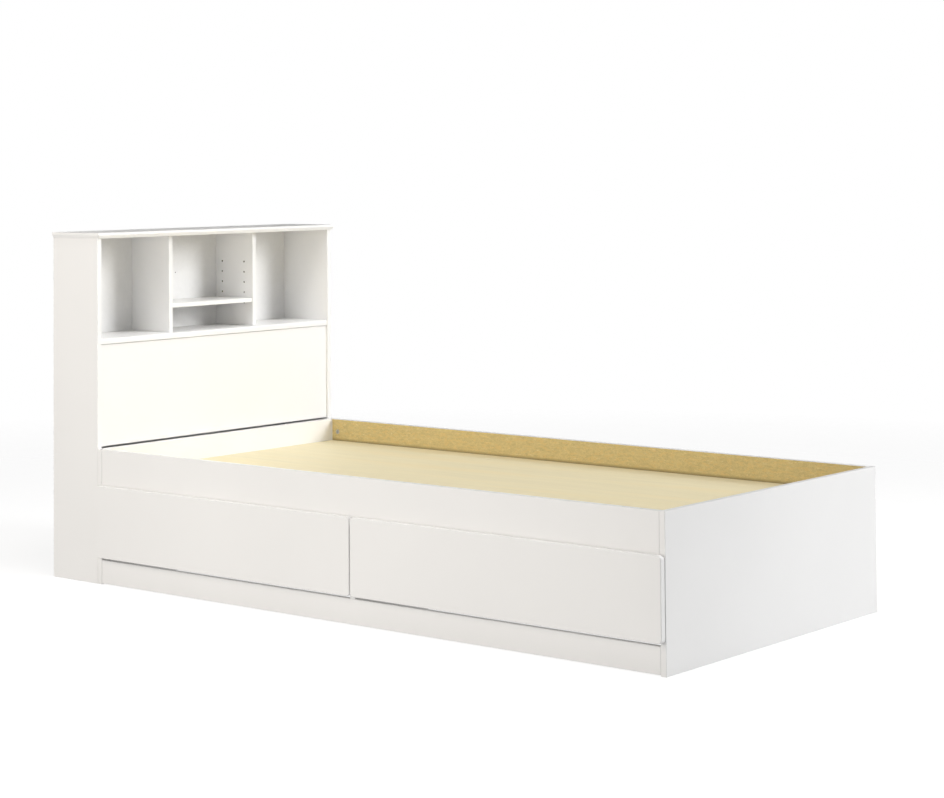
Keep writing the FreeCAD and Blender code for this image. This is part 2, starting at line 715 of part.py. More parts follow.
walls = (("Head", "board_thick"), ("Foot", UPRIGHT_X + " + board_thick"))
cabinet_pins = []
for name, wall in walls:
    far_wall = "%s + %s" % (wall, OPENING)
    channel("%s_Drawer_Channel_Head" % name, wall, 1)
    channel("%s_Drawer_Channel_Foot" % name, far_wall, -1)
    roller_pair("%s_Drawer_Front_Rollers" % name, wall, "roller_front", FRONT_AXLE_Y, FRONT_AXLE_Z,
                "steel + roller_off")
    cabinet_pins.append((wall + " + steel", FRONT_AXLE_Y, FRONT_AXLE_Z, 1))
    cabinet_pins.append((far_wall + " - steel", FRONT_AXLE_Y, FRONT_AXLE_Z, -1))
axle_pins("Channel_Roller_Pins", cabinet_pins)

drawer("Head_Drawer", "board_thick", "front_head_in")
drawer("Foot_Drawer", UPRIGHT_X + " + board_thick",
       "front_head_in + %s + front_split" % FRONT_WIDTH)

doc.recompute()

# ---------------------------------------------------------------- checks and export

os.makedirs("parts", exist_ok=True)
for thing in doc.Objects:
    if "Invalid" in thing.State or "Error" in thing.State:
        raise RuntimeError("feature not built: %s (%s)" % (thing.Name, thing.Label))
bodies = [thing for thing in doc.Objects if thing.TypeId == "PartDesign::Body"]
for body in bodies:
    if body.Shape.isNull() or not body.Shape.isValid():
        raise RuntimeError("bad shape: " + body.Label)
for body in bodies:
    body.Shape.exportStep("parts/%s.step" % body.Label)
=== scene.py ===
from math import cos, pi, radians, sin

import bmesh
import bpy
from bpy.props import FloatProperty, FloatVectorProperty, IntProperty, PointerProperty
from mathutils import Matrix, Vector


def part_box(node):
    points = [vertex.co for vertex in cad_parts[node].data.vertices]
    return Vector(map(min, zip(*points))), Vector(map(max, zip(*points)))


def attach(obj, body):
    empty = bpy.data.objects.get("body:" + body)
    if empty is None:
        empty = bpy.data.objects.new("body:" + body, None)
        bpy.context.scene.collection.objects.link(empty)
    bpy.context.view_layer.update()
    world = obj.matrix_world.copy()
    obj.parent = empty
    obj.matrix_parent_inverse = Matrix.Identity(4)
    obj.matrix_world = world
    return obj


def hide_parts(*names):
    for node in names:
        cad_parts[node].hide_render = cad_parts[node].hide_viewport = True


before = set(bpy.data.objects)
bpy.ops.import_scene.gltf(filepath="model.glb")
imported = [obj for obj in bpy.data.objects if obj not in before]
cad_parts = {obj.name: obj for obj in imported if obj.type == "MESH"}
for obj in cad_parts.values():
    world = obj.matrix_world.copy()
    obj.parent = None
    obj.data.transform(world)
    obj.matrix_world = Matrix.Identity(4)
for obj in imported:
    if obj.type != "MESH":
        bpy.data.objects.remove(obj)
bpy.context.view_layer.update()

bl_info = {
    "name": "Bookcase Headboard Bed",
    "version": (1, 0, 0),
    "blender": (4, 5, 0),
    "location": "View3D > Sidebar > Bed",
    "description": "Finishes, runners, fittings and studio of a single bed with a bookcase headboard",
    "category": "Object",
}

DRAWERS = ("Head", "Foot")
SIDES = ("Head", "Foot")
WHITE_BOARDS = (
    "Headboard_Side_Near", "Headboard_Side_Far", "Adjustable_Shelf", "Headboard_Front_Panel",
    "Headboard_Stretcher_Low", "Headboard_Stretcher_High", "Head_End_Panel", "Foot_End_Panel",
    "Head_Drawer_Front", "Foot_Drawer_Front", "Centre_Upright",
)
SHAPED_BOARDS = ("Headboard_Top", "Fixed_Shelf")
DIVIDERS = ("Divider_Near", "Divider_Far")
AS_DRAWN = Matrix.Identity(4)  # the place that leaves a shape where it is drawn

# Turned shapes, as pairs of a distance along the axis in metres and a share of the radius
NAIL_SHAPE = ((-0.0020, 0), (-0.0020, 0.4), (-0.0007, 0.95), (-0.0004, 1), (-0.0002, 0.9), (-0.0001, 0))
PIN_SHAPE = ((-0.0015, 0), (-0.0015, 1), (0.0004, 1), (0.0007, 0.7), (0.0008, 0))
SCREW_SHAPE = (
    (-0.0012, 0), (-0.0012, 0.5), (0, 0.93), (0.0003, 1), (0.0008, 0.97), (0.0013, 0.80), (0.0016, 0.5),
    (0.0017, 0),
)
CAM_SHAPE = (
    (-0.004, 0), (-0.004, 0.96), (-0.0005, 0.96), (-0.0003, 1), (-0.0001, 1), (0, 0.95), (0, 0.80),
    (-0.0005, 0.76), (-0.0005, 0),
)
CUT_REACH = 0.003  # how far a cutter stands out of the face that it cuts
CAM_PROUD = 0.0004  # a cam lock's face above the board around it


# -------- settings

class BedFinishes(bpy.types.PropertyGroup):
    """Colours of the bed's surfaces."""

    laminate: FloatVectorProperty(
        name="Laminate", description="White laminate on the boards", subtype="COLOR", size=3,
        min=0, max=1, default=(0.868, 0.866, 0.862))
    chipboard: FloatVectorProperty(
        name="Chipboard", description="Bare face of the long panels", subtype="COLOR", size=3,
        min=0, max=1, default=(0.585, 0.465, 0.21))
    deck: FloatVectorProperty(
        name="Deck", description="Bare board under the mattress", subtype="COLOR", size=3,
        min=0, max=1, default=(0.82, 0.735, 0.50))
    pine: FloatVectorProperty(
        name="Pine", description="Planed cleats under the deck", subtype="COLOR", size=3,
        min=0, max=1, default=(0.72, 0.55, 0.32))
    foil: FloatVectorProperty(
        name="Drawer foil", description="White foil on the drawer boxes", subtype="COLOR", size=3,
        min=0, max=1, default=(0.83, 0.82, 0.79))
    coating: FloatVectorProperty(
        name="Runner coating", description="Powder coat on the drawer runners", subtype="COLOR", size=3,
        min=0, max=1, default=(0.80, 0.80, 0.77))
    nylon: FloatVectorProperty(
        name="Nylon", description="Moulded rollers", subtype="COLOR", size=3,
        min=0, max=1, default=(0.82, 0.82, 0.78))
    zinc: FloatVectorProperty(
        name="Zinc", description="Plated and die-cast fittings", subtype="COLOR", size=3,
        min=0, max=1, default=(0.60, 0.60, 0.59))


class BedFittings(bpy.types.PropertyGroup):
    """Sizes of the fittings that the scene makes."""

    sheet: FloatProperty(
        name="Runner sheet", description="Thickness of the runners' steel", unit="LENGTH", default=0.0012)
    fold: FloatProperty(
        name="Fold radius", description="Inside radius of the runners' folds", unit="LENGTH", default=0.0008)
    screw: FloatProperty(
        name="Screw head", description="Diameter of a runner screw's head", unit="LENGTH", default=0.0074)
    cam: FloatProperty(
        name="Cam lock", description="Diameter of a drawer's cam lock", unit="LENGTH", default=0.0146)
    nail: FloatProperty(
        name="Nail head", description="Diameter of a back nail's head", unit="LENGTH", default=0.0036)
    nail_pitch: FloatProperty(
        name="Nail spacing", description="Distance between the back's nails", unit="LENGTH", default=0.098)
    steps: IntProperty(
        name="Round steps", description="Sides of the turned fittings", min=12, max=96, default=32)


class BedStudio(bpy.types.PropertyGroup):
    """Light and floor of the studio."""

    walls_ahead: FloatVectorProperty(
        name="Walls ahead", description="Light from the foot side, the far side and above", subtype="XYZ",
        size=3, min=0, default=(0.42, 0.08, 0.0))
    walls_behind: FloatVectorProperty(
        name="Walls behind", description="Light from the head side, the near side and below", subtype="XYZ",
        size=3, min=0, default=(0.06, 0.48, 0.0))
    lamps: FloatProperty(
        name="Lamps", description="Strength of all the lamps together", min=0, default=1.0)
    floor: FloatVectorProperty(
        name="Floor", description="Pale floor", subtype="COLOR", size=3,
        min=0, max=1, default=(0.32, 0.32, 0.32))
    floor_glow: FloatProperty(
        name="Floor glow", description="Light that the floor sends to the bed, as a lit sweep does", min=0,
        default=0.38)
    floor_white: FloatProperty(
        name="Floor white", description="Light of the floor as the camera sees it", min=0, default=0.80)
    floor_solid: FloatProperty(
        name="Solid floor", description="Radius inside which the floor is solid", unit="LENGTH", default=2.0)
    floor_reach: FloatProperty(
        name="Floor reach", description="Radius at which the floor has faded away", unit="LENGTH",
        default=5.0)


# -------- shader maths

class Wire:
    """A shader socket that works in Python expressions."""

    def __init__(self, shader, socket):
        self.shader = shader
        self.socket = socket

    def combine(self, operation, first, second):
        return self.shader.node("ShaderNodeMath", {"operation": operation}, {0: first, 1: second})

    def __add__(self, other):
        return self.combine("ADD", self, other)

    def __sub__(self, other):
        return self.combine("SUBTRACT", self, other)

    def __rsub__(self, other):
        return self.combine("SUBTRACT", other, self)

    def __mul__(self, other):
        return self.combine("MULTIPLY", self, other)

    def __gt__(self, other):
        return self.combine("GREATER_THAN", self, other)

    def __lt__(self, other):
        return self.combine("LESS_THAN", self, other)

    __radd__ = __add__
    __rmul__ = __mul__


class Shader:
    """A material or world being built; every node comes from node()."""

    def __init__(self, name, kind="materials"):
        self.owner = getattr(bpy.data, kind).new(name)
        self.owner.use_nodes = True
        self.tree = self.owner.node_tree
        self.tree.nodes.clear()
        self.place = self.node("ShaderNodeTexCoord", output="Object")
        self.facing = self.node("ShaderNodeTexCoord", output="Normal")

    def node(self, kind, settings=None, inputs=None, output=0):
        """Add a node: its settings first, then the values or links of its sockets."""
        made = self.tree.nodes.new(kind)
        for name, value in (settings or {}).items():
            setattr(made, name, value)
        for key, value in (inputs or {}).items():
            if isinstance(value, Wire):
                self.tree.links.new(value.socket, made.inputs[key])
            else:
                made.inputs[key].default_value = value
        return Wire(self, made.outputs[output]) if len(made.outputs) else None

    def vector(self, operation, first, second=(0, 0, 0), output="Vector"):
        """One step of vector maths."""
        return self.node("ShaderNodeVectorMath", {"operation": operation}, {0: first, 1: second}, output)

    def stretched(self, x, y, z):
        """The piece's own coordinates, scaled along each axis."""
        return self.vector("MULTIPLY", self.place, (x, y, z))

    def noise(self, scale, detail=2.0, rough=0.5, where=None):
        """Cloudy noise, on the piece's own coordinates or on stretched ones."""
        inputs = {"Vector": where or self.place, "Scale": scale, "Detail": detail, "Roughness": rough}
        return self.node("ShaderNodeTexNoise", {"noise_dimensions": "3D"}, inputs, "Fac")

    def cells(self, scale, where):
        """A random colour for each cell."""
        inputs = {"Vector": where, "Scale": scale}
        return self.node("ShaderNodeTexVoronoi", {"feature": "F1"}, inputs, "Color")

    def ramp(self, value, low, high, dark=0.0, light=1.0):
        """A value's rise between low and high."""
        return self.node("ShaderNodeMapRange", {"clamp": True},
                         {"Value": value, "From Min": low, "From Max": high, "To Min": dark, "To Max": light})

    def blend(self, share, first, second):
        """Mix two colours."""
        colours = [value if isinstance(value, Wire) else (*value, 1.0) for value in (first, second)]
        settings = {"data_type": "RGBA", "blend_type": "MIX"}
        return self.node("ShaderNodeMix", settings, {0: share, 6: colours[0], 7: colours[1]}, 2)

    def part(self, vector, axis):
        """One component of a vector."""
        return self.node("ShaderNodeSeparateXYZ", None, {0: vector}, axis)

    def bump(self, height, strength, depth):
        """A bumped normal; depth is in metres."""
        inputs = {"Height": height, "Strength": strength, "Distance": depth}
        return self.node("ShaderNodeBump", None, inputs)

    def skin(self, colour, rough, normal=None, **constants):
        """A Principled surface; constants are set on its own sockets."""
        inputs = {"Base Color": colour if isinstance(colour, Wire) else (*colour, 1.0), "Roughness": rough}
        if normal is not None:
            inputs["Normal"] = normal
        inputs.update({name.replace("_", " "): value for name, value in constants.items()})
        return self.node("ShaderNodeBsdfPrincipled", None, inputs)

    def finish(self, surface):
        """Send the surface to the output, and give the material."""
        self.node("ShaderNodeOutputMaterial", None, {"Surface": surface})
        return self.owner


def tint(colour, factor):
    """A colour made darker or lighter."""
    return tuple(min(1.0, channel * factor) for channel in colour)


# -------- finishes

BAND_AND_SEAM_SHADE = 0.93  # tone of a board's thin bevels beside its faces: partly the edge band's seam line, partly painted shade of the seams between boards


def laminate_skin(shader, colour, band_and_shade):
    """White laminate: a faint pebble, slow drifts of tone and gloss, and bevels painted darker, partly for
    the edge band's seam line and partly as painted shade of the seams.
    """
    drift = shader.noise(1.7, 3.0)
    tone = shader.blend(shader.ramp(drift, 0.35, 0.65), tint(colour, 0.985), tint(colour, 1.012))
    flat = shader.vector("DOT_PRODUCT", shader.vector("ABSOLUTE", shader.facing), (1, 1, 1), "Value")
    edge = shader.ramp(flat, 1.1, 1.35)
    # painted shade: the bevels take the darker tone, partly for the edge band's seam line and partly for the
    # shade in the seams between boards
    tone = shader.blend(edge, tone, tint(colour, band_and_shade))
    pebble = shader.noise(1150.0, 2.0, 0.6) + shader.noise(340.0, 1.0) * 0.6
    wear = shader.ramp(shader.noise(5.0, 4.0, 0.6), 0.35, 0.7, 0.30, 0.40)
    return shader.skin(tone, wear + edge * 0.06, shader.bump(pebble, 0.10, 0.00012), IOR=1.48)


def chipboard_skin(shader, colour, unshaded=None):
    """Bare chipboard: flat flakes and fibres pressed together, sanded matt; the last argument is low where
    painted shade darkens it.
    """
    coarse = shader.cells(150.0, shader.stretched(0.55, 1.0, 1.3))
    fine = shader.cells(620.0, shader.stretched(0.8, 1.0, 1.1))
    coarse_level = shader.part(coarse, 0)
    fine_level = shader.part(fine, 1)
    cloud = shader.noise(130.0, 3.0, 0.7, shader.stretched(0.6, 1.0, 1.3))
    level = coarse_level * 0.22 + fine_level * 0.25 + shader.noise(900.0, 2.0, 0.7) * 0.2 + cloud * 0.5
    tone = shader.blend(shader.ramp(level, 0.35, 0.82), tint(colour, 0.82), tint(colour, 1.16))
    warm = (min(1.0, colour[0] * 1.03), colour[1] * 0.92, colour[2] * 0.78)
    tone = shader.blend(shader.ramp(coarse_level, 0.72, 0.84, 0.0, 0.45), tone, warm)
    bark = shader.ramp(fine_level, 0.95, 0.97, 0.0, 0.40)
    tone = shader.blend(bark, tone, tint(colour, 0.42))
    streaks = shader.noise(160.0, 3.0, 0.7, shader.stretched(0.35, 1.0, 1.6))
    sapwood = (0.83, 0.72, 0.42)
    tone = shader.blend(shader.ramp(streaks, 0.60, 0.70, 0.0, 0.45), tone, sapwood)
    if unshaded is not None:
        # painted shade: darkens the chipboard to under half its tone where the share is low
        tone = shader.blend(unshaded, tint(colour, 0.45), tone)
    height = level * 0.7 + shader.noise(2200.0, 1.0) * 0.3
    rough = shader.ramp(level, 0.2, 0.9, 0.88, 0.74)
    return shader.skin(tone, rough, shader.bump(height, 0.35, 0.00035), IOR=1.45)


def laminate(colours, name, band_and_shade):
    """A board laminated all over."""
    shader = Shader(name)
    return shader.finish(laminate_skin(shader, colours.laminate, band_and_shade))


def drilled_laminate(colours, node):
    """A laminated board whose drilled holes show the bare core, tinted far darker than chipboard: partly the
    core's own tone, partly painted shade in the holes.
    """
    shader = Shader("Drilled_" + node)
    low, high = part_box(node)
    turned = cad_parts[node].matrix_world.inverted()
    low, high = turned @ low, turned @ high
    away = shader.vector("ABSOLUTE", shader.vector("SUBTRACT", shader.place, (low + high) / 2))
    half = (high - low) / 2
    skins = (0.003, 0.0004, 0.003)  # depth of the white at the board's edges, faces and ends
    core = 1
    for axis, depth in enumerate(skins):
        core = core * (shader.part(away, axis) < half[axis] - depth)
    white = laminate_skin(shader, colours.laminate, BAND_AND_SEAM_SHADE)
    # painted shade: the bare core in the holes is tinted to 0.22 of the chipboard's tone, far darker than
    # bare chipboard
    core_and_hole_shade = 0.22
    bare = chipboard_skin(shader, tint(colours.chipboard, core_and_hole_shade))
    return shader.finish(shader.node("ShaderNodeMixShader", None, {0: core, 1: white, 2: bare}))


def one_sided(colours, name, inward, node):
    """A laminated board whose inner face is bare chipboard, with painted shade along the line where the deck
    meets it.
    """
    shader = Shader(name)
    white = laminate_skin(shader, colours.laminate, BAND_AND_SEAM_SHADE)
    deck_top = (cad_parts[node].matrix_world.inverted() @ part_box("Deck_Panel_Head")[1]).z
    # painted shade: a dark band on the bare face, darkest within 2 mm above the deck's top and faded out by
    # 10 mm
    shade_low, shade_high = 0.002, 0.010
    rise = shader.part(shader.place, 2)
    unshaded = shader.ramp(rise, deck_top + shade_low, deck_top + shade_high, 0.15, 1.0)
    bare = chipboard_skin(shader, colours.chipboard, unshaded)
    side = shader.part(shader.facing, 1) * inward > 0.9
    return shader.finish(shader.node("ShaderNodeMixShader", None, {0: side, 1: white, 2: bare}))


def chipboard(colours):
    """A board of bare chipboard all over."""
    shader = Shader("Bare_Chipboard")
    return shader.finish(chipboard_skin(shader, colours.chipboard))


def deck_board(colours):
    """A pale veneered board with short fibres along the bed."""
    shader = Shader("Deck_Board")
    colour = colours.deck
    fibre = shader.noise(1.0, 5.0, 0.65, shader.stretched(9.0, 210.0, 60.0))
    broad = shader.noise(1.0, 3.0, 0.55, shader.stretched(1.1, 9.0, 9.0))
    flame = shader.noise(1.0, 2.0, 0.5, shader.stretched(2.2, 34.0, 10.0))
    level = fibre * 0.45 + broad * 0.35 + flame * 0.2
    tone = shader.blend(shader.ramp(level, 0.36, 0.64), tint(colour, 0.93), tint(colour, 1.05))
    pores = shader.noise(1.0, 2.0, 0.6, shader.stretched(60.0, 900.0, 60.0))
    tone = shader.blend(shader.ramp(pores, 0.62, 0.72, 0.0, 0.30), tone, tint(colour, 0.74))
    amber = (colour[0], colour[1] * 0.93, colour[2] * 0.80)
    tone = shader.blend(shader.ramp(broad, 0.50, 0.72, 0.0, 0.5), tone, amber)
    rough = shader.ramp(fibre, 0.3, 0.7, 0.55, 0.70)
    return shader.finish(shader.skin(tone, rough, shader.bump(fibre + pores * 0.5, 0.2, 0.0002), IOR=1.47))


def pine(colours):
    """Planed pine with its year rings running along each cleat."""
    shader = Shader("Planed_Pine")
    colour = colours.pine
    rings = shader.node("ShaderNodeTexWave", {"wave_type": "RINGS", "rings_direction": "X"},
                        {"Vector": shader.stretched(0.35, 26.0, 26.0), "Scale": 1.2, "Distortion": 3.0,
                         "Detail": 3.0, "Detail Scale": 0.8})
    late_wood = (colour[0] * 0.86, colour[1] * 0.74, colour[2] * 0.6)
    tone = shader.blend(rings, tint(colour, 1.12), late_wood)
    grain = shader.noise(1.0, 4.0, 0.6, shader.stretched(12.0, 300.0, 300.0))
    tone = shader.blend(grain * 0.35, tone, tint(colour, 0.8))
    rough = shader.ramp(grain, 0.3, 0.7, 0.5, 0.66)
    return shader.finish(shader.skin(tone, rough, shader.bump(grain, 0.2, 0.0002)))


def foil(colours):
    """White paper foil on the drawer boxes, with the fine print of a wood pore."""
    shader = Shader("Drawer_Foil")
    colour = colours.foil
    pore = shader.noise(1.0, 3.0, 0.6, shader.stretched(300.0, 14.0, 420.0))
    tone = shader.blend(shader.ramp(pore, 0.55, 0.72, 0.0, 0.5), colour, tint(colour, 0.93))
    rough = shader.ramp(shader.noise(7.0, 3.0), 0.35, 0.7, 0.42, 0.52)
    return shader.finish(shader.skin(tone, rough, shader.bump(pore, 0.12, 0.0001), IOR=1.46))


def hardboard(colours, name):
    """White-faced hardboard: a smooth face over pressed fibre."""
    shader = Shader(name)
    colour = tint(colours.laminate, 0.985)
    mottle = shader.noise(60.0, 4.0, 0.65)
    tone = shader.blend(shader.ramp(mottle, 0.4, 0.65), tint(colour, 0.975), colour)
    weave = shader.noise(700.0, 2.0, 0.6)
    rough = shader.ramp(mottle, 0.35, 0.65, 0.40, 0.52)
    return shader.finish(shader.skin(tone, rough, shader.bump(weave, 0.1, 0.0001), IOR=1.46))


def powder_coat(colours):
    """Powder coat: the small waves of a cured coating."""
    shader = Shader("Powder_Coat")
    colour = colours.coating
    peel = shader.noise(420.0, 2.0, 0.4)
    tone = shader.blend(shader.ramp(shader.noise(14.0, 4.0), 0.35, 0.7), colour, tint(colour, 0.95))
    rough = shader.ramp(peel, 0.3, 0.7, 0.30, 0.42)
    return shader.finish(shader.skin(tone, rough, shader.bump(peel, 0.25, 0.0002), Coat_Weight=0.15))


def plated(colours, name, factor, rough_low, rough_high):
    """Plated or cast metal with a fine directionless grain and a few rubbed marks."""
    shader = Shader(name)
    colour = tint(colours.zinc, factor)
    grain = shader.noise(1600.0, 3.0, 0.6)
    marks = shader.noise(1.0, 4.0, 0.7, shader.stretched(900.0, 160.0, 300.0))
    tone = shader.blend(shader.ramp(marks, 0.45, 0.7), colour, tint(colour, 0.84))
    rough = shader.ramp(grain * 0.6 + marks * 0.4, 0.35, 0.65, rough_low, rough_high)
    return shader.finish(shader.skin(tone, rough, shader.bump(grain, 0.2, 0.00008), Metallic=1.0))


def moulded_nylon(colours):
    """White nylon, a little milky, with the sheen of a moulded skin."""
    shader = Shader("Moulded_Nylon")
    colour = colours.nylon
    cloud = shader.noise(120.0, 3.0, 0.6)
    tone = shader.blend(shader.ramp(cloud, 0.4, 0.65), tint(colour, 0.96), tint(colour, 1.03))
    rough = shader.ramp(cloud, 0.35, 0.65, 0.36, 0.48)
    return shader.finish(shader.skin(tone, rough, shader.bump(shader.noise(900.0), 0.08, 0.0001), IOR=1.53))


def dress(names, material):
    """Give CAD nodes a finish."""
    for name in names:
        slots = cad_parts[name].data.materials
        slots.clear()
        slots.append(material)


def finish_named(name, make, *options):
    """A finish by its name, made the first time that it is asked for."""
    found = bpy.data.materials.get(name)
    return found or make(*options)


def zinc_plate(colours):
    """Bright plate on screws, bolts and axle pins."""
    return finish_named("Zinc_Plate", plated, colours, "Zinc_Plate", 1.05, 0.26, 0.42)


def darkened_steel(colours):
    """Steel tinted to under a third of the zinc's tone: on the shelf pins it is painted shade, and the small
    pin in the back shares it.
    """
    return finish_named("Darkened_Steel", plated, colours, "Darkened_Steel", 0.30, 0.34, 0.52)


def cast_zinc(colours):
    """Grey die-cast metal of the cam locks."""
    return finish_named("Cast_Zinc", plated, colours, "Cast_Zinc", 0.92, 0.36, 0.55)


# -------- mesh tools

def piece(name, mesh, material, body, replaced=()):
    """Turn a bmesh into a piece of the bed that rides on a body."""
    bmesh.ops.remove_doubles(mesh, verts=mesh.verts, dist=1e-7)
    bmesh.ops.recalc_face_normals(mesh, faces=mesh.faces)
    data = bpy.data.meshes.new(name)
    mesh.to_mesh(data)
    mesh.free()
    made = bpy.data.objects.new(name, data)
    bpy.context.scene.collection.objects.link(made)
    data.materials.append(material)
    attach(made, body)
    if replaced:
        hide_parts(*replaced)
    return made


def shade_curves(made, limit=35.0):
    """Smooth the faces that meet at less than an angle."""
    for polygon in made.data.polygons:
        polygon.use_smooth = True
    made.data.set_sharp_from_angle(angle=radians(limit))
    return made


def turn(mesh, profile, steps, place):
    """Add a turned solid: its profile is a list of (along, radius) pairs, round the place's own X."""
    rings = []
    for along, radius in profile:
        if radius == 0:
            rings.append([mesh.verts.new(place @ Vector((along, 0, 0)))])
        else:
            rings.append([mesh.verts.new(place @ Vector((along, radius * cos(2 * pi * step / steps),
                                                         radius * sin(2 * pi * step / steps))))
                          for step in range(steps)])
    for first, second in zip(rings, rings[1:]):
        for step in range(steps):
            following = (step + 1) % steps
            corners = [first[step % len(first)], second[step % len(second)],
                       second[following % len(second)], first[following % len(first)]]
            corners = list(dict.fromkeys(corners))
            if len(corners) > 2:
                mesh.faces.new(corners)


def block(mesh, low, high, place):
    """Add a rectangular solid between two corners."""
    corners = [mesh.verts.new(place @ Vector((x, y, z)))
               for x in (low[0], high[0]) for y in (low[1], high[1]) for z in (low[2], high[2])]
    for face in ((0, 1, 3, 2), (4, 6, 7, 5), (0, 4, 5, 1), (2, 3, 7, 6), (0, 2, 6, 4), (1, 5, 7, 3)):
        mesh.faces.new([corners[index] for index in face])


def prism(mesh, outline, low, high):
    """Add a straight solid with an outline in Y and Z, from low to high along X."""
    ends = [[mesh.verts.new((x, y, z)) for y, z in outline] for x in (low, high)]
    count = len(outline)
    for index in range(count):
        following = (index + 1) % count
        mesh.faces.new([ends[0][index], ends[1][index], ends[1][following], ends[0][following]])
    mesh.faces.new(ends[0])
    mesh.faces.new(list(reversed(ends[1])))


def slot_outline(y, z, half, radius, steps=8):
    """The outline of a slot along Y with round ends."""
    points = []
    for side, start in ((1, -pi / 2), (-1, pi / 2)):
        for step in range(steps + 1):
            angle = start + pi * step / steps
            points.append((y + side * half + radius * cos(angle), z + radius * sin(angle)))
    return points


def carve(mesh, cutter):
    """Cut one bmesh out of another and return what is left."""
    made = []
    for name, part in (("Body", mesh), ("Cutter", cutter)):
        bmesh.ops.recalc_face_normals(part, faces=part.faces)
        data = bpy.data.meshes.new(name)
        part.to_mesh(data)
        part.free()
        made.append(bpy.data.objects.new(name, data))
        bpy.context.scene.collection.objects.link(made[-1])
    cut = made[0].modifiers.new("Cut", "BOOLEAN")
    cut.operation = "DIFFERENCE"
    cut.solver = "EXACT"
    cut.object = made[1]
    depsgraph = bpy.context.evaluated_depsgraph_get()
    left = bmesh.new()
    left.from_mesh(made[0].evaluated_get(depsgraph).data)
    if len(left.faces) <= 6:
        raise RuntimeError("nothing was cut")
    for thing in made:
        data = thing.data
        bpy.data.objects.remove(thing)
        bpy.data.meshes.remove(data)
    return left


def rounded(points, radius, steps=5):
    """A polyline whose inner corners are arcs, as (x, z, normal x, normal z)."""
    path = []
    for index, point in enumerate(points):
        if index in (0, len(points) - 1):
            other = points[1] if index == 0 else points[-2]
            along = (Vector(other) - Vector(point)) * (1 if index == 0 else -1)
            along.normalize()
            path.append((*point, -along.y, along.x))
            continue
        back = (Vector(points[index - 1]) - Vector(point)).normalized()
        ahead = (Vector(points[index + 1]) - Vector(point)).normalized()
        centre = Vector(point) + (back + ahead) * radius
        turn_left = (-back).cross(ahead) > 0
        for step in range(steps + 1):
            angle = step / steps * pi / 2
            out = -ahead * cos(angle) - back * sin(angle)
            spot = centre + out * radius
            normal = -out if turn_left else out
            path.append((spot.x, spot.y, normal.x, normal.y))
    return path


def fold(points, sheet, radius, near, far):
    """A folded strip of sheet along Y: points run down the middle of the sheet in X and Z."""
    mesh = bmesh.new()
    path = rounded(points, radius + sheet / 2)
    loops = []
    for y in (near, far):
        left = [mesh.verts.new((x + nx * sheet / 2, y, z + nz * sheet / 2)) for x, z, nx, nz in path]
        right = [mesh.verts.new((x - nx * sheet / 2, y, z - nz * sheet / 2)) for x, z, nx, nz in path]
        loops.append((left, right))
    for index in range(len(path) - 1):
        for side in (0, 1):
            a, b = loops[0][side], loops[1][side]
            mesh.faces.new([a[index], a[index + 1], b[index + 1], b[index]])
        for left, right in loops:
            mesh.faces.new([left[index], left[index + 1], right[index + 1], right[index]])
    for index in (0, -1):
        mesh.faces.new([loops[0][0][index], loops[0][1][index], loops[1][1][index], loops[1][0][index]])
    return mesh


def shaped(shape, radius):
    """A turned shape at a real radius."""
    return [(along, share * radius) for along, share in shape]


def cross_cut(head, wide, tall, bottom):
    """Cut a cross-shaped recess down to a bottom into a head that faces along X."""
    for across, upward in ((wide, tall), (tall, wide)):
        cutter = bmesh.new()
        block(cutter, (bottom, -across / 2, -upward / 2), (CUT_REACH, across / 2, upward / 2), AS_DRAWN)
        head = carve(head, cutter)
    return head


def screw_head(diameter, steps):
    """A low round screw head with a cross recess, standing on x = 0."""
    head = bmesh.new()
    turn(head, shaped(SCREW_SHAPE, diameter / 2), steps, AS_DRAWN)
    return cross_cut(head, diameter * 0.13, diameter * 0.56, 0.0004)


def cam_head(diameter, steps):
    """A cam lock's face with a raised rim and a cross slot, its rim at x = 0."""
    head = bmesh.new()
    turn(head, shaped(CAM_SHAPE, diameter / 2), steps, AS_DRAWN)
    return cross_cut(head, diameter * 0.11, diameter * 0.60, -0.0028)


def scattered(name, source, places, material, body):
    """One piece made of a small solid repeated at several places."""
    data = bpy.data.meshes.new(name + "_One")
    source.to_mesh(data)
    source.free()
    mesh = bmesh.new()
    for place in places:
        copy = data.copy()
        copy.transform(place)
        mesh.from_mesh(copy)
        bpy.data.meshes.remove(copy)
    bpy.data.meshes.remove(data)
    return shade_curves(piece(name, mesh, material, body))


def facing(x, y, z, axis, spin=0.0):
    """A place whose own X points along an axis ("+x", "-x", "+y" or "-y"), turned by a spin round it."""
    quarters = {"+x": 0, "+y": 1, "-x": 2, "-y": -1}
    turned = Matrix.Rotation(quarters[axis] * pi / 2, 4, "Z")
    return Matrix.Translation((x, y, z)) @ turned @ Matrix.Rotation(spin, 4, "X")


# -------- operators

class BED_OT_boards(bpy.types.Operator):
    """Finish the laminated boards, and leave the inner faces of the long panels bare"""

    bl_idname = "bed.boards"
    bl_label = "Laminated boards"

    def execute(self, context):
        colours = context.scene.bed_finishes
        dress(WHITE_BOARDS, laminate(colours, "White_Laminate", BAND_AND_SEAM_SHADE))
        dress(SHAPED_BOARDS, laminate(colours, "White_Laminate_Shaped", 1.0))
        for node in DIVIDERS:
            dress((node,), drilled_laminate(colours, node))
        for node, inward in (("Front_Rail", 1), ("Plinth", 1), ("Far_Side_Panel", -1)):
            dress((node,), one_sided(colours, node + "_Faces", inward, node))
        return {"FINISHED"}


